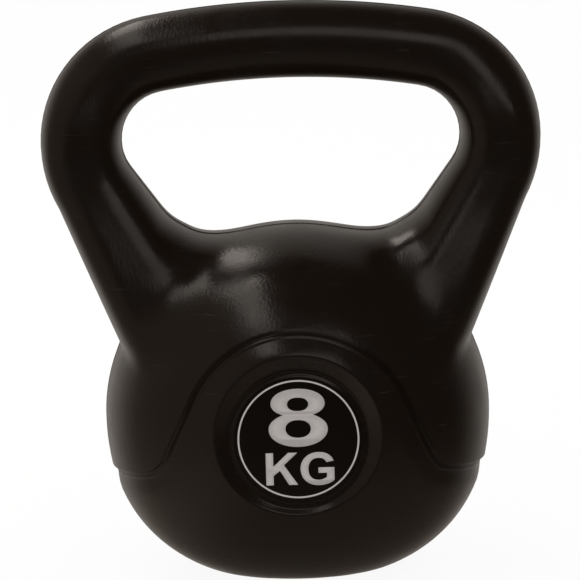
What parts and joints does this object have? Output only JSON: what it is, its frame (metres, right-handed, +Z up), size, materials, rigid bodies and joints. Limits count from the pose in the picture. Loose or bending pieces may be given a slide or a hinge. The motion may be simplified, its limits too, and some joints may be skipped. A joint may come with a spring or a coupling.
{
  "type": "kettlebell",
  "caption": "Filled plastic kettlebell: blown one-piece shell with a bowed grip bar, rounded ball with a stepped arch band, dished label seats and a flat base.",
  "frame": {"origin": "centre of the flat base, on the surface that the kettlebell stands on", "axes": "+Z up, X along the grip bar, the front label faces -Y"},
  "size_m": [0.2364, 0.1538, 0.275],
  "materials": {
    "shell_plastic": "blow-moulded black polyethylene, satin",
    "cement_mix": "cast, rough",
    "plug_plastic": "injection-moulded black polyethylene, matt",
    "label_film": "printed vinyl film, satin gloss"
  },
  "bodies": {
    "root": {"shell": "shell_plastic", "filling": "cement_mix", "fill_plug": "plug_plastic", "front_label": "label_film", "rear_label": "label_film"}
  },
  "joints": []
}
